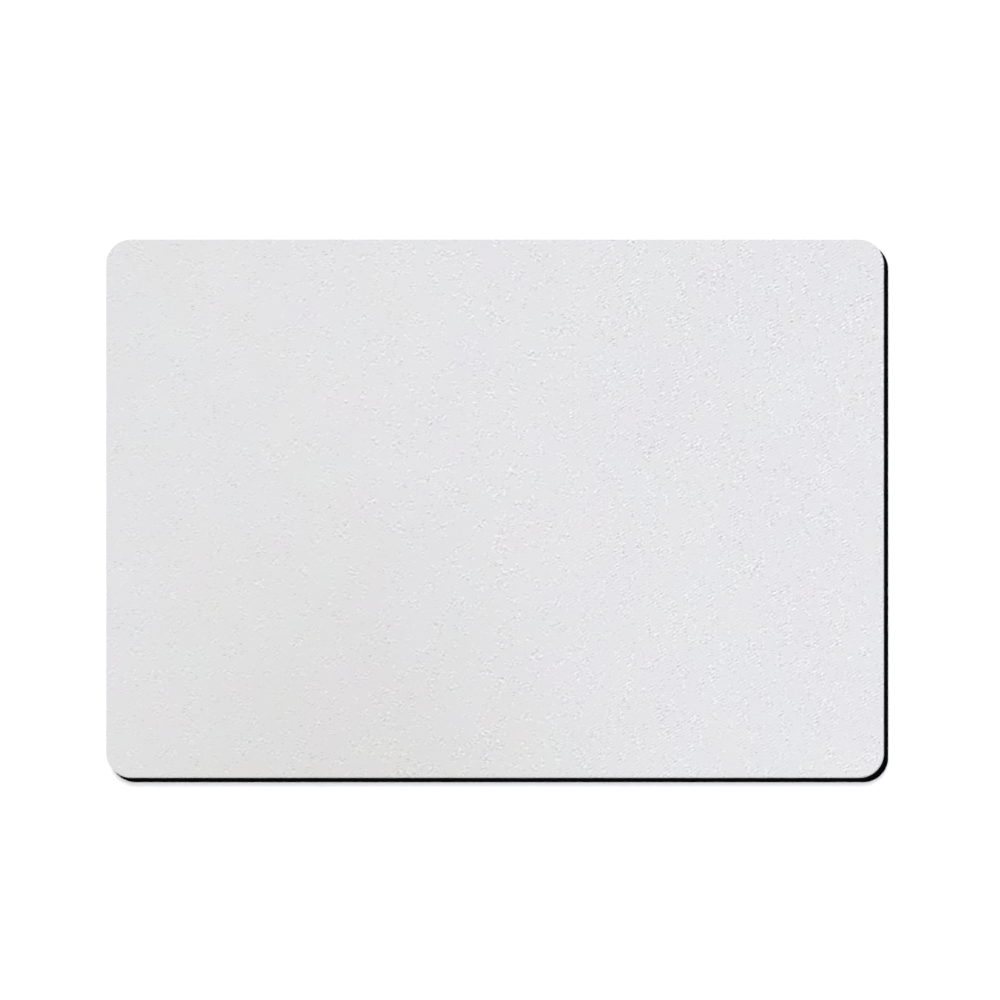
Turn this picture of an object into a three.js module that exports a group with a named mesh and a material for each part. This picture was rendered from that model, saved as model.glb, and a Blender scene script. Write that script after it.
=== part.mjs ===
// Cloth-topped desk pad: woven fabric bonded to a sheet of foam rubber.
// Millimetres, +Z up. The origin is the centre of the underside, +X runs along the long side.
import * as THREE from "three";

// Outline of the finished pad
const padWidth = 260;
const padDepth = 180;
const cornerRadius = 8.3;

// Thickness of each layer, from the desk up
const foamThickness = 2.5;
const filmThickness = 0.1;
const clothThickness = 0.4;

// Marks that the cutting die leaves on the edge
const foamFootRound = 0.4;
const foamWaistDepth = 0.12;
const filmSetback = 0.05;
const clothRimRound = 0.25;

// A rounded rim takes up no more than this share of its layer's thickness
const roundMostShare = 0.7;

// Smoothness of the curved stretches
const cornerSteps = 12;
const profileSteps = 5;

const quarterTurn = Math.PI / 2;

// One level of the outline, counter-clockwise from above, drawn in all round by `inset`.
function outlineRing(inset, height) {
  const cornerX = padWidth / 2 - cornerRadius;
  const cornerY = padDepth / 2 - cornerRadius;
  const radius = cornerRadius - inset;
  const centres = [[cornerX, cornerY], [-cornerX, cornerY], [-cornerX, -cornerY], [cornerX, -cornerY]];
  const ring = [];
  centres.forEach(([centreX, centreY], corner) => {
    for (let step = 0; step <= cornerSteps; step += 1) {
      const angle = quarterTurn * (corner + step / cornerSteps);
      const x = centreX + radius * Math.cos(angle);
      const y = centreY + radius * Math.sin(angle);
      ring.push(new THREE.Vector3(x, y, height));
    }
  });
  return ring;
}

// A closed layer: its side follows `edgeProfile`, a path of inset against height from the bottom up.
function layerGeometry(edgeProfile) {
  const rings = edgeProfile.getPoints(profileSteps).map((point) => outlineRing(point.x, point.y));
  const ringSize = rings[0].length;
  const indices = [];

  for (let level = 0; level < rings.length - 1; level += 1) {
    for (let side = 0; side < ringSize; side += 1) {
      const next = (side + 1) % ringSize;
      const lower = level * ringSize;
      const upper = lower + ringSize;
      indices.push(lower + side, lower + next, upper + next);
      indices.push(lower + side, upper + next, upper + side);
    }
  }

  const topStart = (rings.length - 1) * ringSize;
  const capContour = rings[0].map((point) => new THREE.Vector2(point.x, point.y));
  for (const [first, second, third] of THREE.ShapeUtils.triangulateShape(capContour, [])) {
    indices.push(third, second, first);
    indices.push(topStart + first, topStart + second, topStart + third);
  }

  const shared = new THREE.BufferGeometry().setFromPoints(rings.flat());
  shared.setIndex(indices);
  const geometry = shared.toNonIndexed();
  geometry.computeVertexNormals();
  return geometry;
}

function layerMesh(name, edgeProfile, material) {
  const mesh = new THREE.Mesh(layerGeometry(edgeProfile), material);
  mesh.name = name;
  return mesh;
}

function limitedRound(round, layerThickness) {
  return Math.min(round, layerThickness * roundMostShare);
}

// Closed-cell foam rubber that grips the desk, with a rounded lower rim and a waist in the cut.
function makeFoamBase() {
  const footRound = limitedRound(foamFootRound, foamThickness);
  const waistHeight = (footRound + foamThickness) / 2;
  // The curve reaches half as deep as the point that pulls it in.
  const waistPull = 2 * foamWaistDepth;
  const edge = new THREE.Path();
  edge.moveTo(footRound, 0);
  edge.absarc(footRound, footRound, footRound, -quarterTurn, -2 * quarterTurn, true);
  edge.quadraticCurveTo(waistPull, waistHeight, 0, foamThickness);
  const material = new THREE.MeshStandardMaterial({ color: 0x070708, roughness: 0.85, metalness: 0 });
  return layerMesh("foam_rubber_base", edge, material);
}

// Hot-melt film that bonds the cloth to the foam, a little back from the cut edge.
function makeAdhesiveFilm() {
  const edge = new THREE.Path();
  edge.moveTo(filmSetback, 0);
  edge.lineTo(filmSetback, filmThickness);
  const material = new THREE.MeshStandardMaterial({ color: 0x8c8d8f, roughness: 0.45, metalness: 0 });
  return layerMesh("adhesive_film", edge, material);
}

// White woven cloth that the hand works on, its upper rim rounded over by the die.
function makeClothTop() {
  const rimRound = limitedRound(clothRimRound, clothThickness);
  const rimHeight = clothThickness - rimRound;
  const edge = new THREE.Path();
  edge.moveTo(0, 0);
  edge.lineTo(0, rimHeight);
  edge.absarc(rimRound, rimHeight, rimRound, 2 * quarterTurn, quarterTurn, true);
  const material = new THREE.MeshStandardMaterial({ color: 0xe4e5e7, roughness: 0.9, metalness: 0 });
  return layerMesh("cloth_top", edge, material);
}

const pad = new THREE.Group();

const foamBase = makeFoamBase();
pad.add(foamBase);

const adhesiveFilm = makeAdhesiveFilm();
adhesiveFilm.position.z = foamThickness;
pad.add(adhesiveFilm);

const clothTop = makeClothTop();
clothTop.position.z = foamThickness + filmThickness;
pad.add(clothTop);

export default pad;
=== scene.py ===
"""A cloth-topped desk pad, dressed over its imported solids: woven cloth, bonding film and foam rubber.

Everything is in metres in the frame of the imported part: +X runs along the long side, +Y along the
short side and +Z up, and the desk lies at z = 0.
"""

import math
from functools import partial

import bpy
from mathutils import Matrix, Vector, noise


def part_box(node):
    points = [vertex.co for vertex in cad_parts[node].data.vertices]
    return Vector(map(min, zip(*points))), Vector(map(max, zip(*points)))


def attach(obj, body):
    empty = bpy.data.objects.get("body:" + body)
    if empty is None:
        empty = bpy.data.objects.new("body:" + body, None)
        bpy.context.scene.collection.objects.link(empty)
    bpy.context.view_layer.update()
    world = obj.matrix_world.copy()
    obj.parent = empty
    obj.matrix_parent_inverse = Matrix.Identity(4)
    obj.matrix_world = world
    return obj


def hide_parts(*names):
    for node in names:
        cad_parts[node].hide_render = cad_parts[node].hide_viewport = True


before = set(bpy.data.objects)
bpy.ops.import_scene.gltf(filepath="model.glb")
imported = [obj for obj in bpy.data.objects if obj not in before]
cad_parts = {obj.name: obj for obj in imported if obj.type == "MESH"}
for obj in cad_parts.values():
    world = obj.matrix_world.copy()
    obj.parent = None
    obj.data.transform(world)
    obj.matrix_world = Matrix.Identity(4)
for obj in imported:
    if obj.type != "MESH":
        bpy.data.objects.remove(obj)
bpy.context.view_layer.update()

MM = 0.001
QUARTER_TURN = math.pi / 2
WHITE = (1, 1, 1, 1)

# A mix node's sockets for colours, which share their names with those for other kinds of value
MIX_SHARE_INPUT = 0
MIX_FIRST_INPUT = 6
MIX_SECOND_INPUT = 7
MIX_COLOUR_OUTPUT = 2

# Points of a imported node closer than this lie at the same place
SAME_PLACE = 0.002 * MM

# The photograph: a parallel projection from above, in which what is lower slides to the right and down
PICTURE_PIXELS = 1000
CLOTH_LEFT_PIXEL = 106.0
CLOTH_RIGHT_PIXEL = 884.0
CLOTH_BOTTOM_PIXEL = 778.0
BLACK_BAND_PIXELS = 4.0
CAMERA_HEIGHT = 1.0

# The cloth's shape
CLOTH_GRID = 1.6 * MM
CLOTH_BORDER = 0.6 * MM
CLOTH_RIM_ROUND = 0.16 * MM
CLOTH_RIM_STEPS = 4
CLOTH_CUT_STEPS = 3
CLOTH_EDGE_SPLIT = 13
CLOTH_SHARP_ANGLE = math.radians(50)
SWELL_DEPTH = 0.05 * MM
SWELL_LENGTH = 34 * MM
DIMPLE_DEPTH = 0.015 * MM
DIMPLE_LENGTH = 7 * MM

# The cut ends of its yarns, which swap places between these shares of the way down
YARN_PITCH = 0.56 * MM
YARN_END_DEPTH = 0.07 * MM
YARN_SWAP_START_SHARE = 0.25
YARN_SWAP_END_SHARE = 0.75

# The bonding film's shape
FILM_GRID = 2.0 * MM
FILM_EDGE_SPLIT = 4
FILM_SETBACK = 0.06 * MM
FILM_WANDER = 0.05 * MM
FILM_WANDER_LENGTH = 5 * MM
FILM_SHARP_ANGLE = math.radians(30)

# The foam rubber's shape
FOAM_GRID = 1.15 * MM
FOAM_BORDER = 3.0 * MM
FOAM_EDGE_SPLIT = 4
FOAM_FOOT_ROUND = 0.2 * MM
FOAM_FOOT_STEPS = 4
FOAM_WAIST_DEPTH = 0.12 * MM
FOAM_CUT_STEPS = 9
FOAM_SHARP_ANGLE = math.radians(60)

# The cells that the die cuts open, whose rim and floor are shares of their spacing from the middle
PORE_SPACING = 0.55 * MM
PORE_DEPTH = 0.09 * MM
PORE_RIM_SHARE = 0.64
PORE_FLOOR_SHARE = 0.18

# The wavy ribs pressed into its underside
TREAD_DEPTH = 0.3 * MM
TREAD_PITCH = 5.5 * MM
TREAD_SLOPE_SHARE = 0.5
TREAD_SWING = 1.1 * MM
TREAD_SWING_LENGTH = 16 * MM

# The cloth's weave: short floats of the long yarns, each row a quarter float on from the last
FLOAT_WIDTH = 0.56 * MM
FLOAT_LENGTH = 1.30 * MM
FLOAT_STEP_SHARE = 0.25
FLOAT_RELIEF = 0.02 * MM
# Painted shade: the gaps between floats are darker than their crests
FLOAT_SHADE = 0.03
FLOAT_MEAN = 0.49
FLOAT_WANDER = 1.5 * MM
FLOAT_WANDER_SIZE = 9 * MM
FLOAT_ROUGHNESS = 0.84
GAP_ROUGHNESS = 0.96

# Where floats stand proud, their ends line up as twill lines at arm's length, darkened by painted shade
# where the floats dip
TWILL_SHADE = 0.064
TWILL_MEAN = 2 / math.pi

# Flecks: short strands in the same places that rise to the right, lighter where they stand up and
# darker between, partly their own tone and partly painted shade
FLECKS = {"pitch": 1.19 * MM, "waves": 1.2, "order": 0.8, "normal": math.radians(-59)}
FLECK_RELIEF = 0.002 * MM
FLECK_SHADE = 0.015

# The nap is fuzz of no one direction
NAP_SIZE = 0.95 * MM
NAP_DETAIL = 1.0
NAP_RELIEF = 0.003 * MM
NAP_SHADE = 0.045

# On the right of the pad, floats, flecks and nap stand proud in narrow ladders that lean to the right,
# over one stretch from left to right and a little more over another from front to back
LADDER_WIDTH = 2.3 * MM
LADDER_LENGTH = 5.0 * MM
LADDER_LEAN = math.radians(-10)
LADDER_FROM = 0.43
LADDER_TO = 0.62
LADDER_LEAST = 0.05
LADDER_MOST = 2.0
LADDER_STRETCH_SHARES = (0.08, 0.36)
LADDER_DEPTH_STRETCH_SHARES = (0.1, 0.8)
LADDER_FRONT_TO_BACK = (0.9, 1.08)

# Further left the nap stands in loose clusters with the wisps, and both fade towards the left end
CLUSTER_SIZE = 3.8 * MM
CLUSTER_FROM = 0.465
CLUSTER_TO = 0.63
CLUSTER_MOST = 3.0
CLUSTER_NAP_SHARE = 0.4
LEFT_STRETCH_SHARES = (-0.9, 0.3)
NAP_LEFT_TO_RIGHT = (0.12, 1.0)
WISP_LEFT_TO_RIGHT = (0.64, 1.0)
WISP_LADDER_STRENGTH = 0.2

# Wisps: short strands of lint that lie along the pad in the same clusters
WISPS = {"pitch": 1.55 * MM, "waves": 1.0, "order": 0.35, "normal": math.radians(98)}
WISP_SHADE = 0.0173
WISP_RELIEF = 0.002 * MM

# Slubs: scattered ovals along the pad, more of them darker than lighter, each with a painted highlight
# at its back and painted shadow at its front
SLUB_SPACING_X = 2.0 * MM
SLUB_SPACING_Y = 1.0 * MM
SLUB_TURN = math.radians(-8)
SLUB_PATCH = 6 * MM
SLUB_PATCH_FROM = 0.45
SLUB_PATCH_TO = 0.68
SLUB_REACH_SHARE = 0.42
SLUB_LEAST = 0.5
SLUB_RELIEF = 0.025 * MM
SLUB_DARK_SHARE = 0.62
SLUB_SHADE = 0.46

# Neps: a few tiny dark knots of lint
NEP_SPACING = 26 * MM
NEP_LEAST = 0.93
NEP_RADIUS = 0.36 * MM
NEP_SHADE = 0.3
NEP_WANDER = 0.9 * MM
NEP_WANDER_SIZE = 0.5 * MM

# The value that noise and Gabor patterns lie about
PATTERN_MIDDLE = 0.5

# What they are multiplied by, once centred, to run mostly from -1 to 1
GABOR_GAIN = 12
NOISE_GAIN = 8

# The cloth's finish
CLOTH_COLOUR = (0.715, 0.706, 0.711, 1)
CLOTH_SPECULAR = 0.2
CLOTH_SHEEN = 0.12
CLOTH_SHEEN_ROUGHNESS = 0.45
TINT_SIZE = 21 * MM
TINT_DETAIL = 3.0
TINT_SHARE = 0.038

# Painted shade: in front and to the left, the cloth is greyed a little, where the light falls off
PAINTED_SHADE_COLOUR = (0.641, 0.624, 0.600, 1)
PAINTED_SHADE_X_SHARE = -0.38
PAINTED_SHADE_Y_SHARE = -2.2
PAINTED_SHADE_REACH_X_SHARE = 1.02
PAINTED_SHADE_REACH_Y_SHARE = 2.95

# The film's finish
FILM_LIGHT_COLOUR = (0.10, 0.10, 0.105, 1)
FILM_DARK_COLOUR = (0.06, 0.06, 0.065, 1)
FILM_CLOUD_SIZE = 1.5 * MM
FILM_GRAIN_SIZE = 0.4 * MM
FILM_RELIEF = 0.02 * MM
FILM_ROUGHNESS = 0.5
FILM_SPECULAR = 0.1

# The foam's cut side: black rubber, painted darker still than the skin as painted shade
FOAM_DARK_COLOUR = (0.0012, 0.0012, 0.0013, 1)
FOAM_LIGHT_COLOUR = (0.0040, 0.0040, 0.0043, 1)
FOAM_MOTTLE_SIZE = 1.2 * MM
FOAM_MOTTLE_DETAIL = 4.0
FOAM_CELL_SIZE = 0.28 * MM
FOAM_CELL_RELIEF = 0.05 * MM
FOAM_LEAST_ROUGHNESS = 0.75
FOAM_MOST_ROUGHNESS = 0.95
FOAM_SPECULAR = 0.01

# The moulded skin under the foam, greyer than the cut side with its painted shade, and smoother, where
# it faces down at least this much
SKIN_COLOUR = (0.030, 0.030, 0.031, 1)
SKIN_ROUGHNESS = 0.6
SKIN_FROM = 0.4
SKIN_TO = 0.8

# The floor and the dome of soft light
FLOOR_HALF_SIZE = 8.0
FLOOR_WHITENESS = 0.98
DOME_LIGHT = 0.17

# Soft distant lamps, by the light that they give a level white surface and by where they stand
DISTANT_LAMPS = (
    {
        "name": "overhead_softbox",
        "level_light": 0.62,
        "azimuth": math.radians(90),
        "elevation": math.radians(89),
        "width": math.radians(12),
    },
    {
        "name": "back_softbox",
        "level_light": 0.27,
        "azimuth": math.radians(92),
        "elevation": math.radians(63.5),
        "width": math.radians(22),
    },
)

# A cool lamp beyond the right end of the pad, placed by shares of the pad's half width and half depth
SIDE_LAMP_WATTS = 0.197
SIDE_LAMP_SIZE = 0.25
SIDE_LAMP_COLOUR = (0.60, 0.70, 1.0)
SIDE_LAMP_RIGHT_SHARE = 1.8
SIDE_LAMP_BACK_SHARE = -0.2
SIDE_LAMP_HEIGHT_SHARE = 2.7


class Outline:
    """A rounded rectangle about the origin."""

    def __init__(self, half_width, half_depth, radius):
        self.half_width = half_width
        self.half_depth = half_depth
        self.radius = radius
        self.reach_x = half_width - radius
        self.reach_y = half_depth - radius

    def inset(self, by):
        return Outline(self.half_width - by, self.half_depth - by, self.radius - by)

    def area(self):
        corners = (4 - math.pi) * self.radius ** 2
        return 4 * self.half_width * self.half_depth - corners

    def centre_and_way(self, x, y):
        """What a point of the edge turns about, and the way out from there through the point."""
        centre = Vector((
            max(-self.reach_x, min(self.reach_x, x)),
            max(-self.reach_y, min(self.reach_y, y)),
        ))
        return centre, (Vector((x, y)) - centre).normalized()

    def rows(self, spacing):
        """(y, half width) of each row of a grid that fills the outline, from front to back."""
        arc_steps = math.ceil(self.radius * QUARTER_TURN / spacing)
        arc = []
        for step in range(arc_steps + 1):
            turn = QUARTER_TURN * step / arc_steps
            y = self.reach_y + self.radius * math.sin(turn)
            arc.append((y, self.reach_x + self.radius * math.cos(turn)))
        straight_steps = math.ceil(2 * self.reach_y / spacing)
        straight = []
        for step in range(1, straight_steps):
            y = self.reach_y * (2 * step / straight_steps - 1)
            straight.append((y, self.half_width))
        front = [(-y, half_width) for y, half_width in reversed(arc)]
        return front + straight + arc


def corner_radius(node):
    """The corner radius of a packed plate, read from where its straight back edge ends."""
    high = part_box(node)[1]
    points = [vertex.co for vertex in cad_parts[node].data.vertices]
    back_edge = [point.x for point in points if high.y - point.y < SAME_PLACE]
    return high.x - max(back_edge)


def packed_outline(node):
    low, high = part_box(node)
    return Outline((high.x - low.x) / 2, (high.y - low.y) / 2, corner_radius(node))


PAD = packed_outline("cloth_top")


class Surface:
    """Points and faces of one closed mesh, gathered piece by piece."""

    def __init__(self):
        self.points = []
        self.faces = []

    def add_point(self, x, y, z):
        self.points.append((x, y, z))
        return len(self.points) - 1

    def add_grid(self, outline, spacing, height, faces_up):
        """A grid over the outline at height(x, y). Returns its edge, counter-clockwise from above."""
        rows = outline.rows(spacing)
        columns = math.ceil(2 * outline.half_width / spacing) + 1
        number = []
        for y, half_width in rows:
            row = []
            for column in range(columns):
                x = half_width * (2 * column / (columns - 1) - 1)
                row.append(self.add_point(x, y, height(x, y)))
            number.append(row)
        for front, back in zip(number[:-1], number[1:]):
            for column in range(columns - 1):
                face = (front[column], front[column + 1], back[column + 1], back[column])
                self.faces.append(face if faces_up else face[::-1])
        right = [row[-1] for row in number]
        left = [row[0] for row in number]
        return number[0][:-1] + right[:-1] + number[-1][:0:-1] + left[:0:-1]

    def split_loop(self, loop, outline, parts):
        """(x, y) on the outline beside each point of the loop, and at parts - 1 places between."""
        places = []
        for first, second in zip(loop, loop[1:] + loop[:1]):
            start = Vector(self.points[first][:2])
            end = Vector(self.points[second][:2])
            for part in range(parts):
                between = start.lerp(end, part / parts)
                centre, way = outline.centre_and_way(between.x, between.y)
                places.append(centre + way * outline.radius)
        return places

    def add_ring(self, outline, places, edge):
        """A ring of points, one for each (x, y), where edge(x, y) says how far in and how high."""
        ring = []
        for place in places:
            inset, height = edge(place.x, place.y)
            centre, way = outline.centre_and_way(place.x, place.y)
            x, y = centre + way * (outline.radius - inset)
            ring.append(self.add_point(x, y, height))
        return ring

    def join_split(self, loop, ring, parts, faces_up):
        """Faces from a loop out to a ring that has parts points for each of the loop's."""
        middle = parts // 2
        size = len(ring)
        for place, inner in enumerate(loop):
            following = loop[(place + 1) % len(loop)]
            start = place * parts
            added = [(inner, ring[(start + middle) % size], following)]
            for part in range(parts):
                near = inner if part < middle else following
                added.append((near, ring[start + part], ring[(start + part + 1) % size]))
            self.faces.extend(added if faces_up else [face[::-1] for face in added])

    def join_rings(self, lower, upper):
        """A band of faces between two rings of as many points, facing out."""
        for place in range(len(lower)):
            after = (place + 1) % len(lower)
            self.faces.append((lower[place], lower[after], upper[after], upper[place]))

    def cap(self, ring, faces_up):
        self.faces.append(tuple(ring) if faces_up else tuple(reversed(ring)))

    def to_object(self, name):
        mesh = bpy.data.meshes.new(name)
        mesh.from_pydata(self.points, [], self.faces)
        mesh.validate()
        mesh.update()
        made = bpy.data.objects.new(name, mesh)
        bpy.context.scene.collection.objects.link(made)
        return made


def make_layer(name, area, spacing, height, edges, split, grid_on_top, sharp_angle):
    """One closed sheet: a grid over one face, rings round the edge, and a flat other face."""
    surface = Surface()
    loop = surface.add_grid(area, spacing, height, faces_up=grid_on_top)
    places = surface.split_loop(loop, PAD, split)
    rings = [surface.add_ring(PAD, places, edge) for edge in edges]
    surface.join_split(loop, rings[0], split, faces_up=grid_on_top)
    for nearer, further in zip(rings[:-1], rings[1:]):
        lower, upper = (further, nearer) if grid_on_top else (nearer, further)
        surface.join_rings(lower, upper)
    surface.cap(rings[-1], faces_up=not grid_on_top)
    layer = surface.to_object(name)
    layer.data.shade_smooth()
    layer.data.set_sharp_from_angle(angle=sharp_angle)
    return layer


def smooth_step(value, start, end):
    """0 up to start and 1 from end on, with an S-shaped rise between them."""
    share = max(0.0, min(1.0, (value - start) / (end - start)))
    return share * share * (3 - 2 * share)


def noise_share(x, y, length, layer=0):
    """Smooth noise from 0 to 1 with features about length across, unlike in each layer."""
    return (1 + noise.noise(Vector((x / length, y / length, layer)))) / 2


# Cloth


def cloth_dip(x, y):
    """How far the bonded cloth lies below its highest level: long swells and small dimples."""
    swell = SWELL_DEPTH * noise_share(x, y, SWELL_LENGTH)
    return swell + DIMPLE_DEPTH * noise_share(x, y, DIMPLE_LENGTH, layer=1)


def yarn_end_inset(x, y, depth_share):
    """How far the die's cut draws in between two yarn ends; yarns swap places half way down."""
    along = x if abs(y) > PAD.reach_y else y
    swap = smooth_step(depth_share, YARN_SWAP_START_SHARE, YARN_SWAP_END_SHARE)
    phase = math.pi * (along / YARN_PITCH + swap / 2)
    return YARN_END_DEPTH * (abs(math.cos(phase)) + noise_share(x, y, YARN_PITCH)) / 2


def make_cloth():
    low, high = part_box("cloth_top")

    def top(x, y):
        return high.z - cloth_dip(x, y)

    def rim(turn, x, y):
        inset = CLOTH_RIM_ROUND * (1 - math.sin(turn)) + yarn_end_inset(x, y, 0) * math.sin(turn)
        return inset, top(x, y) - CLOTH_RIM_ROUND * (1 - math.cos(turn))

    def cut(share, x, y):
        start = top(x, y) - CLOTH_RIM_ROUND
        return yarn_end_inset(x, y, share), start + share * (low.z - start)

    edges = []
    for step in range(CLOTH_RIM_STEPS + 1):
        edges.append(partial(rim, QUARTER_TURN * step / CLOTH_RIM_STEPS))
    for step in range(1, CLOTH_CUT_STEPS + 1):
        edges.append(partial(cut, step / CLOTH_CUT_STEPS))
    return make_layer(
        "woven_cloth", PAD.inset(CLOTH_BORDER), CLOTH_GRID, top, edges, CLOTH_EDGE_SPLIT,
        grid_on_top=True, sharp_angle=CLOTH_SHARP_ANGLE,
    )


# Bonding film


def make_film():
    low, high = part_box("adhesive_film")

    def top(x, y):
        return high.z

    def edge(height, x, y):
        return FILM_SETBACK + FILM_WANDER * noise_share(x, y, FILM_WANDER_LENGTH), height

    edges = [partial(edge, high.z), partial(edge, low.z)]
    return make_layer(
        "bonding_film", PAD.inset(CLOTH_BORDER), FILM_GRID, top, edges, FILM_EDGE_SPLIT,
        grid_on_top=True, sharp_angle=FILM_SHARP_ANGLE,
    )


# Foam rubber


def tread_height(x, y):
    """The pressed grip tread: wavy ribs that stand on the desk, with grooves between them."""
    sway = TREAD_SWING * math.sin(2 * math.pi * x / TREAD_SWING_LENGTH)
    wave = math.cos(2 * math.pi * (y + sway) / TREAD_PITCH)
    return TREAD_DEPTH * smooth_step(wave, TREAD_SLOPE_SHARE, -TREAD_SLOPE_SHARE)


def pore_depth(x, y, z):
    """Cells of the foam that the die cut open, as shallow pits."""
    distances = noise.voronoi(Vector((x, y, z)) / PORE_SPACING)[0]
    return PORE_DEPTH * smooth_step(distances[0], PORE_RIM_SHARE, PORE_FLOOR_SHARE)


def foam_edge_profile(low_z, high_z):
    """(inset, height) up the cut side: the round foot, then the waist."""
    profile = []
    for step in range(FOAM_FOOT_STEPS + 1):
        turn = QUARTER_TURN * step / FOAM_FOOT_STEPS
        inset = FOAM_FOOT_ROUND * (1 - math.sin(turn))
        profile.append((inset, low_z + FOAM_FOOT_ROUND * (1 - math.cos(turn))))
    foot_z = low_z + FOAM_FOOT_ROUND
    for step in range(1, FOAM_CUT_STEPS + 1):
        share = step / FOAM_CUT_STEPS
        inset = FOAM_WAIST_DEPTH * math.sin(math.pi * share)
        profile.append((inset, foot_z + share * (high_z - foot_z)))
    return profile


def make_foam():
    low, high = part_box("foam_rubber_base")
    tread_area = PAD.inset(FOAM_BORDER)

    def underside(x, y):
        centre = tread_area.centre_and_way(x, y)[0]
        inside = tread_area.radius - (Vector((x, y)) - centre).length
        return low.z + tread_height(x, y) * smooth_step(inside, 0, TREAD_PITCH / 2)

    def edge(inset, height, x, y):
        bite = pore_depth(x, y, height) * smooth_step(height, low.z, low.z + FOAM_FOOT_ROUND)
        return inset + bite, height

    edges = [partial(edge, inset, height) for inset, height in foam_edge_profile(low.z, high.z)]
    return make_layer(
        "foam_rubber", tread_area, FOAM_GRID, underside, edges, FOAM_EDGE_SPLIT,
        grid_on_top=False, sharp_angle=FOAM_SHARP_ANGLE,
    )


# Materials


class NodeTree:
    """The nodes of a material or a world. A value is a number, a colour or another node's output."""

    def __init__(self, tree):
        self.tree = tree

    def feed(self, socket, value):
        if isinstance(value, bpy.types.NodeSocket):
            self.tree.links.new(value, socket)
        else:
            socket.default_value = value

    def add(self, kind, values, **settings):
        node = self.tree.nodes.new(kind)
        for name, value in settings.items():
            setattr(node, name, value)
        for name, value in values.items():
            self.feed(node.inputs[name], value)
        return node


class Material(NodeTree):
    """A material, and the sums and patterns that its nodes are put together from."""

    def __init__(self, name):
        self.material = bpy.data.materials.new(name)
        self.material.use_nodes = True
        super().__init__(self.material.node_tree)
        coordinates = self.add("ShaderNodeTexCoord", {})
        self.here = coordinates.outputs["Object"]
        self.normal = coordinates.outputs["Normal"]

    def math(self, operation, first, second=0.0):
        return self.add("ShaderNodeMath", {0: first, 1: second}, operation=operation).outputs[0]

    def product(self, first, *others):
        for other in others:
            first = self.math("MULTIPLY", first, other)
        return first

    def total(self, *terms):
        """The sum of pairs of a value and the amount that it counts for."""
        result = 0.0
        for value, amount in terms:
            result = self.math("ADD", result, self.product(value, amount))
        return result

    def centred(self, value):
        """A noise or Gabor pattern, moved to lie about zero."""
        return self.math("SUBTRACT", value, PATTERN_MIDDLE)

    def arch(self, value):
        """0 at each whole number, and 1 half way between two of them."""
        return self.math("ABSOLUTE", self.math("SINE", self.product(value, math.pi)))

    def spread(self, value, low, high, least=0.0, most=1.0, smooth=False):
        """value, from low to high, as least to most."""
        values = {"Value": value, "From Min": low, "From Max": high, "To Min": least, "To Max": most}
        kind = "SMOOTHSTEP" if smooth else "LINEAR"
        return self.add("ShaderNodeMapRange", values, interpolation_type=kind).outputs["Result"]

    def mix(self, share, first, second):
        """From the first colour to the second."""
        values = {MIX_SHARE_INPUT: share, MIX_FIRST_INPUT: first, MIX_SECOND_INPUT: second}
        return self.add("ShaderNodeMix", values, data_type="RGBA").outputs[MIX_COLOUR_OUTPUT]

    def vector_math(self, operation, first, second):
        return self.add("ShaderNodeVectorMath", {0: first, 1: second}, operation=operation)

    def scaled(self, vector, by):
        values = {"Vector": vector, "Scale": by}
        return self.add("ShaderNodeVectorMath", values, operation="SCALE").outputs["Vector"]

    def parts(self, vector):
        """The X, Y and Z of a vector."""
        return self.add("ShaderNodeSeparateXYZ", {"Vector": vector}).outputs

    def place(self, scale, turn=0.0):
        """Coordinates fixed to the part, turned about Z and then scaled."""
        turned = {"Vector": self.here, "Rotation": (0, 0, turn)}
        points = self.add("ShaderNodeMapping", turned).outputs["Vector"]
        return self.add("ShaderNodeMapping", {"Vector": points, "Scale": scale}).outputs["Vector"]

    def wander(self, size, reach):
        """Coordinates fixed to the part that stray by up to about a quarter of reach."""
        hues = self.add("ShaderNodeTexNoise", {"Vector": self.here, "Scale": 1 / size}).outputs["Color"]
        stray = self.vector_math("SUBTRACT", hues, (PATTERN_MIDDLE,) * 3).outputs["Vector"]
        return self.vector_math("ADD", self.here, self.scaled(stray, reach)).outputs["Vector"]

    def grain(self, size, detail=2.0, vector=None):
        """Noise whose features are about size across, about a half."""
        values = {"Vector": vector or self.here, "Scale": 1 / size, "Detail": detail}
        return self.add("ShaderNodeTexNoise", values).outputs[0]

    def scatter(self, spacing, vector):
        """Points strewn over the plane about spacing apart, each with its own colour."""
        values = {"Vector": vector, "Scale": 1 / spacing}
        voronoi = self.add("ShaderNodeTexVoronoi", values, voronoi_dimensions="2D")
        colour = self.add("ShaderNodeSeparateColor", {"Color": voronoi.outputs["Color"]})
        return voronoi.outputs, colour.outputs

    def bump(self, height, depth):
        return self.add("ShaderNodeBump", {"Height": height, "Distance": depth}).outputs["Normal"]

    def finish(self, **values):
        """Sets or links the shader's own sockets, named with underscores for spaces."""
        shader = self.tree.nodes["Principled BSDF"]
        for name, value in values.items():
            self.feed(shader.inputs[name.replace("_", " ")], value)
        return self.material


def float_pattern(cloth):
    """Rounded floats side by side, from 0 in the gaps to 1 on their crests, and the same along them."""
    place = cloth.parts(cloth.wander(FLOAT_WANDER_SIZE, FLOAT_WANDER))
    across = cloth.math("DIVIDE", place["X"], FLOAT_WIDTH)
    row = cloth.math("FLOOR", across)
    along = cloth.math("DIVIDE", place["Y"], FLOAT_LENGTH)
    along = cloth.math("SUBTRACT", along, cloth.product(row, FLOAT_STEP_SHARE))
    lengthwise = cloth.arch(along)
    return cloth.product(cloth.arch(across), cloth.math("SQRT", lengthwise)), lengthwise


def along_pad(cloth, axis, half_size, stretch_shares, values):
    """From one value to another along X or Y, over a stretch in shares of the pad's half size."""
    start, end = (share * half_size for share in stretch_shares)
    return cloth.spread(cloth.parts(cloth.here)[axis], start, end, *values, smooth=True)


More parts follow.
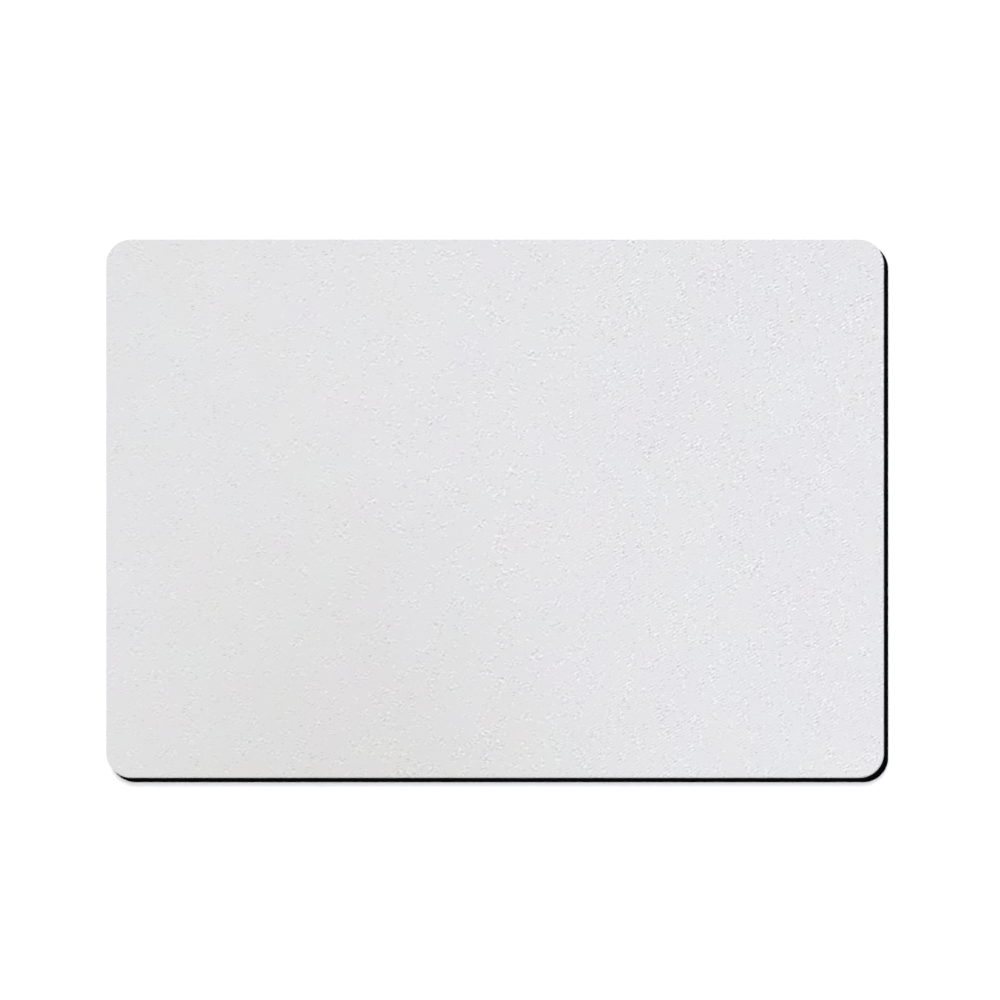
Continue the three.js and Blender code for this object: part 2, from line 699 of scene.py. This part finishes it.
def ladder_strength(cloth):
    """How much floats, flecks and nap stand out: most in narrow ladders, and more at the back."""
    scale = (1 / LADDER_WIDTH, 1 / LADDER_LENGTH, 1 / LADDER_LENGTH)
    ladders = cloth.grain(1.0, vector=cloth.place(scale, LADDER_LEAN))
    strength = cloth.spread(ladders, LADDER_FROM, LADDER_TO, LADDER_LEAST, LADDER_MOST)
    by_depth = along_pad(cloth, "Y", PAD.half_depth, LADDER_DEPTH_STRETCH_SHARES, LADDER_FRONT_TO_BACK)
    return cloth.product(strength, by_depth)


def strands(cloth, pitch, waves, order, normal):
    """Short strands beside each other, mostly from -1 to 1, that lie mostly across the normal."""
    gabor = cloth.add("ShaderNodeTexGabor", {
        "Vector": cloth.here,
        "Scale": 1 / (pitch * waves),
        "Frequency": waves,
        "Anisotropy": order,
        "Orientation": normal,
    })
    return cloth.product(cloth.centred(gabor.outputs["Value"]), GABOR_GAIN)


def nap_pattern(cloth):
    """Fuzz of no one direction, mostly from -1 to 1."""
    return cloth.product(cloth.centred(cloth.grain(NAP_SIZE, NAP_DETAIL)), NOISE_GAIN)


def nap_strength(cloth, ladder_share, ladders, clusters):
    """The ladders' strength on the right, and some of the clusters', fading to the left, elsewhere."""
    strength = cloth.spread(ladder_share, 0.0, 1.0, cloth.product(clusters, CLUSTER_NAP_SHARE), ladders)
    fade = along_pad(cloth, "X", PAD.half_width, LEFT_STRETCH_SHARES, NAP_LEFT_TO_RIGHT)
    return cloth.product(strength, fade)


def wisp_strength(cloth, ladder_share):
    """Full in the pad's middle, a little less at its left, and least where there are ladders."""
    fade = along_pad(cloth, "X", PAD.half_width, LEFT_STRETCH_SHARES, WISP_LEFT_TO_RIGHT)
    return cloth.spread(ladder_share, 0.0, 1.0, fade, WISP_LADDER_STRENGTH)


def slub_pattern(cloth):
    """How thick each slub is, and its tone: its own, and a painted highlight at its back and painted
    shadow at its front.
    """
    scale = (1 / SLUB_SPACING_X, 1 / SLUB_SPACING_Y, 1 / SLUB_SPACING_Y)
    place = cloth.place(scale, SLUB_TURN)
    point, colour = cloth.scatter(1.0, place)
    chosen = cloth.math("GREATER_THAN", colour["Red"], SLUB_LEAST)
    oval = cloth.spread(point["Distance"], SLUB_REACH_SHARE, 0.0, smooth=True)
    patches = cloth.spread(cloth.grain(SLUB_PATCH), SLUB_PATCH_FROM, SLUB_PATCH_TO)
    thick = cloth.product(oval, chosen, patches)
    # Painted highlight and shadow: lighter towards each slub's back, where the lamps stand, darker
    # towards its front
    offset = cloth.vector_math("SUBTRACT", place, point["Position"]).outputs["Vector"]
    back = cloth.parts(offset)["Y"]
    own = cloth.math("SUBTRACT", colour["Green"], SLUB_DARK_SHARE)
    tone_and_painted_shading = cloth.total((back, 1 / SLUB_REACH_SHARE), (own, 1.0))
    return thick, cloth.product(thick, tone_and_painted_shading)


def nep_pattern(cloth):
    """Tiny knots of lint in the yarn: 1 on a few scattered dots, and 0 elsewhere."""
    point, colour = cloth.scatter(NEP_SPACING, cloth.wander(NEP_WANDER_SIZE, NEP_WANDER))
    chosen = cloth.math("GREATER_THAN", colour["Red"], NEP_LEAST)
    reach = NEP_RADIUS / NEP_SPACING
    return cloth.product(cloth.spread(point["Distance"], reach, reach / 2), chosen)


def front_left_painted_shade(cloth):
    """Painted shade: 1 a little in front of the pad's front edge, towards the left, and 0 far from
    there.
    """
    reach_x = PAINTED_SHADE_REACH_X_SHARE * PAD.half_width
    reach_y = PAINTED_SHADE_REACH_Y_SHARE * PAD.half_depth
    middle = (PAINTED_SHADE_X_SHARE * PAD.half_width / reach_x, PAINTED_SHADE_Y_SHARE * PAD.half_depth / reach_y, 0)
    away = cloth.vector_math("DISTANCE", cloth.place((1 / reach_x, 1 / reach_y, 0)), middle)
    return cloth.spread(away.outputs["Value"], 1.0, 0.0, smooth=True)


def cloth_colour(cloth):
    """White, greyed towards the front left by painted shade, and clouded with faint hues."""
    hue_values = {"Vector": cloth.here, "Scale": 1 / TINT_SIZE, "Detail": TINT_DETAIL}
    hues = cloth.add("ShaderNodeTexNoise", hue_values).outputs["Color"]
    # Painted shade greys the cloth towards the front left, where the light falls off
    painted_shaded = cloth.mix(front_left_painted_shade(cloth), CLOTH_COLOUR, PAINTED_SHADE_COLOUR)
    return cloth.mix(TINT_SHARE, painted_shaded, hues)


def cloth_material():
    cloth = Material("white_woven_cloth")
    floats, lengthwise = float_pattern(cloth)
    ladder_share = along_pad(cloth, "X", PAD.half_width, LADDER_STRETCH_SHARES, (0.0, 1.0))
    ladders = ladder_strength(cloth)
    clusters = cloth.spread(cloth.grain(CLUSTER_SIZE), CLUSTER_FROM, CLUSTER_TO, 0.0, CLUSTER_MOST)
    proud = cloth.product(ladders, ladder_share)
    # Painted shade at the floats' ends, where they dip, in the ladders
    twill_painted_shade = cloth.product(cloth.math("SUBTRACT", lengthwise, TWILL_MEAN), proud)
    flecks = cloth.product(strands(cloth, **FLECKS), proud)
    nap = cloth.product(nap_pattern(cloth), nap_strength(cloth, ladder_share, ladders, clusters))
    wisps = cloth.product(strands(cloth, **WISPS), clusters, wisp_strength(cloth, ladder_share))
    slubs, slub_tones_and_painted_shading = slub_pattern(cloth)
    # Tones of the cloth, with painted shade in the weave's gaps, at the floats' ends and between
    # flecks, and a painted highlight and shadow on each slub
    shade = cloth.total(
        # Painted shade in the gaps between floats
        (cloth.math("SUBTRACT", floats, FLOAT_MEAN), FLOAT_SHADE),
        (twill_painted_shade, TWILL_SHADE),
        (flecks, FLECK_SHADE),
        (nap, NAP_SHADE),
        (wisps, WISP_SHADE),
        (slub_tones_and_painted_shading, SLUB_SHADE),
        (nep_pattern(cloth), -NEP_SHADE),
    )
    # How far each stands up, in millimetres
    relief = cloth.total(
        (floats, FLOAT_RELIEF / MM),
        (flecks, FLECK_RELIEF / MM),
        (nap, NAP_RELIEF / MM),
        (wisps, WISP_RELIEF / MM),
        (slubs, SLUB_RELIEF / MM),
    )
    return cloth.finish(
        Base_Color=cloth.scaled(cloth_colour(cloth), cloth.math("ADD", shade, 1.0)),
        Normal=cloth.bump(relief, MM),
        Roughness=cloth.spread(floats, 0.0, 1.0, GAP_ROUGHNESS, FLOAT_ROUGHNESS),
        Specular_IOR_Level=CLOTH_SPECULAR,
        Sheen_Weight=CLOTH_SHEEN,
        Sheen_Roughness=CLOTH_SHEEN_ROUGHNESS,
    )


def film_material():
    film = Material("milky_bonding_film")
    return film.finish(
        Base_Color=film.mix(film.grain(FILM_CLOUD_SIZE), FILM_LIGHT_COLOUR, FILM_DARK_COLOUR),
        Normal=film.bump(film.grain(FILM_GRAIN_SIZE), FILM_RELIEF),
        Roughness=FILM_ROUGHNESS,
        Specular_IOR_Level=FILM_SPECULAR,
    )


def foam_material():
    foam = Material("black_foam_rubber")
    skin = foam.spread(foam.parts(foam.normal)["Z"], -SKIN_FROM, -SKIN_TO)
    mottle = foam.grain(FOAM_MOTTLE_SIZE, FOAM_MOTTLE_DETAIL)
    cells = foam.add("ShaderNodeTexVoronoi", {"Vector": foam.here, "Scale": 1 / FOAM_CELL_SIZE})
    # Painted shade: the cut side is darker than black rubber would be, far darker than the skin that
    # faces down
    cut_colour_and_painted_shade = foam.mix(mottle, FOAM_DARK_COLOUR, FOAM_LIGHT_COLOUR)
    cut_roughness = foam.spread(mottle, 0.0, 1.0, FOAM_LEAST_ROUGHNESS, FOAM_MOST_ROUGHNESS)
    return foam.finish(
        Base_Color=foam.mix(skin, cut_colour_and_painted_shade, SKIN_COLOUR),
        Normal=foam.bump(cells.outputs["Distance"], FOAM_CELL_RELIEF),
        Roughness=foam.spread(skin, 0.0, 1.0, cut_roughness, SKIN_ROUGHNESS),
        Specular_IOR_Level=FOAM_SPECULAR,
    )


# The pad


def dress(piece, node, material):
    """Gives a piece its finish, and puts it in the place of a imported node."""
    piece.data.materials.append(material)
    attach(piece, "root")
    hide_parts(node)


def make_pad():
    cloth = make_cloth()
    dress(cloth, "cloth_top", cloth_material())
    PAD.area()

    film = make_film()
    dress(film, "adhesive_film", film_material())

    foam = make_foam()
    dress(foam, "foam_rubber_base", foam_material())


# The stage


def make_floor():
    corner = FLOOR_HALF_SIZE
    surface = Surface()
    ring = [surface.add_point(x, y, 0) for x, y in (
        (-corner, -corner), (corner, -corner), (corner, corner), (-corner, corner),
    )]
    surface.cap(ring, faces_up=True)
    floor = surface.to_object("floor")
    white = FLOOR_WHITENESS
    pale = Material("pale_floor")
    pale.finish(Base_Color=(white, white, white, 1), Roughness=1.0, Specular_IOR_Level=0.0)
    floor.data.materials.append(pale.material)


def make_dome():
    """Soft light from all round. The camera sees it as plain white, like the floor."""
    world = bpy.data.worlds.new("soft_dome")
    bpy.context.scene.world = world
    world.use_nodes = True
    world.node_tree.nodes.clear()
    dome = NodeTree(world.node_tree)
    lit = dome.add("ShaderNodeBackground", {"Color": WHITE, "Strength": DOME_LIGHT})
    seen = dome.add("ShaderNodeBackground", {"Color": WHITE, "Strength": 1.0})
    to_camera = dome.add("ShaderNodeLightPath", {}).outputs["Is Camera Ray"]
    choice = dome.add("ShaderNodeMixShader", {0: to_camera, 1: lit.outputs[0], 2: seen.outputs[0]})
    dome.add("ShaderNodeOutputWorld", {"Surface": choice.outputs[0]})


def add_lamp(name, kind):
    lamp = bpy.data.objects.new(name, bpy.data.lights.new(name, kind))
    bpy.context.scene.collection.objects.link(lamp)
    lamp.rotation_mode = "QUATERNION"
    return lamp


def make_distant_lamp(name, level_light, azimuth, elevation, width):
    """Azimuth 0 is +X, and elevation 0 is level with the floor."""
    lamp = add_lamp(name, "SUN")
    lamp.data.energy = level_light * math.pi / math.sin(elevation)
    lamp.data.angle = width
    towards = Vector((
        math.cos(azimuth) * math.cos(elevation),
        math.sin(azimuth) * math.cos(elevation),
        math.sin(elevation),
    ))
    lamp.rotation_quaternion = towards.to_track_quat("Z", "Y")


def make_side_lamp():
    lamp = add_lamp("side_softbox", "AREA")
    lamp.data.energy = SIDE_LAMP_WATTS
    lamp.data.size = SIDE_LAMP_SIZE
    lamp.data.color = SIDE_LAMP_COLOUR
    lamp.location = (
        SIDE_LAMP_RIGHT_SHARE * PAD.half_width,
        SIDE_LAMP_BACK_SHARE * PAD.half_depth,
        SIDE_LAMP_HEIGHT_SHARE * PAD.half_width,
    )
    lamp.rotation_quaternion = lamp.location.to_track_quat("Z", "Y")
    lamp.visible_camera = False


def make_camera():
    """Looks straight down, with parallel rays that lean, as the photograph's do.

    The lean is a shear on the rig that carries the camera, so that the top stays an exact rectangle.
    """
    foam_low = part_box("foam_rubber_base")[0]
    cloth_low, cloth_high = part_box("cloth_top")
    side_height = cloth_low.z - foam_low.z
    cloth_side_pixels = BLACK_BAND_PIXELS * (cloth_high.z - cloth_low.z) / side_height
    pixel = 2 * PAD.half_width / (CLOTH_RIGHT_PIXEL - CLOTH_LEFT_PIXEL - cloth_side_pixels)
    band = BLACK_BAND_PIXELS * pixel
    slope = band / side_height
    # The round foot draws in under the side, and the rays lean this much more to make up for it
    hidden_by_foot = FOAM_FOOT_ROUND * (1 + slope - math.hypot(1, slope))
    lean = (band + hidden_by_foot) / side_height

    data = bpy.data.cameras.new("photograph_camera")
    data.type = "ORTHO"
    data.ortho_scale = PICTURE_PIXELS * pixel
    camera = bpy.data.objects.new("photograph_camera", data)
    bpy.context.scene.collection.objects.link(camera)
    bpy.context.scene.camera = camera

    rig = bpy.data.objects.new("leaning_rig", None)
    bpy.context.scene.collection.objects.link(rig)
    camera.parent = rig
    camera.matrix_parent_inverse = Matrix((
        (1, 0, lean, 0),
        (0, 1, -lean, 0),
        (0, 0, 1, 0),
        (0, 0, 0, 1),
    ))
    # Where the middle of the picture lies on the plane of the pad's top
    front_edge_pixel = CLOTH_BOTTOM_PIXEL - cloth_side_pixels
    middle_x = (PICTURE_PIXELS / 2 - CLOTH_LEFT_PIXEL) * pixel - PAD.half_width
    middle_y = (front_edge_pixel - PICTURE_PIXELS / 2) * pixel - PAD.half_depth
    fall = cloth_high.z
    camera.location = (middle_x - lean * fall, middle_y + lean * fall, CAMERA_HEIGHT)


# Colours come out as they are lit, with no film-like curve
bpy.context.scene.view_settings.view_transform = "Standard"
make_camera()
make_pad()
make_floor()
make_dome()
make_side_lamp()
for distant_lamp in DISTANT_LAMPS:
    make_distant_lamp(**distant_lamp)
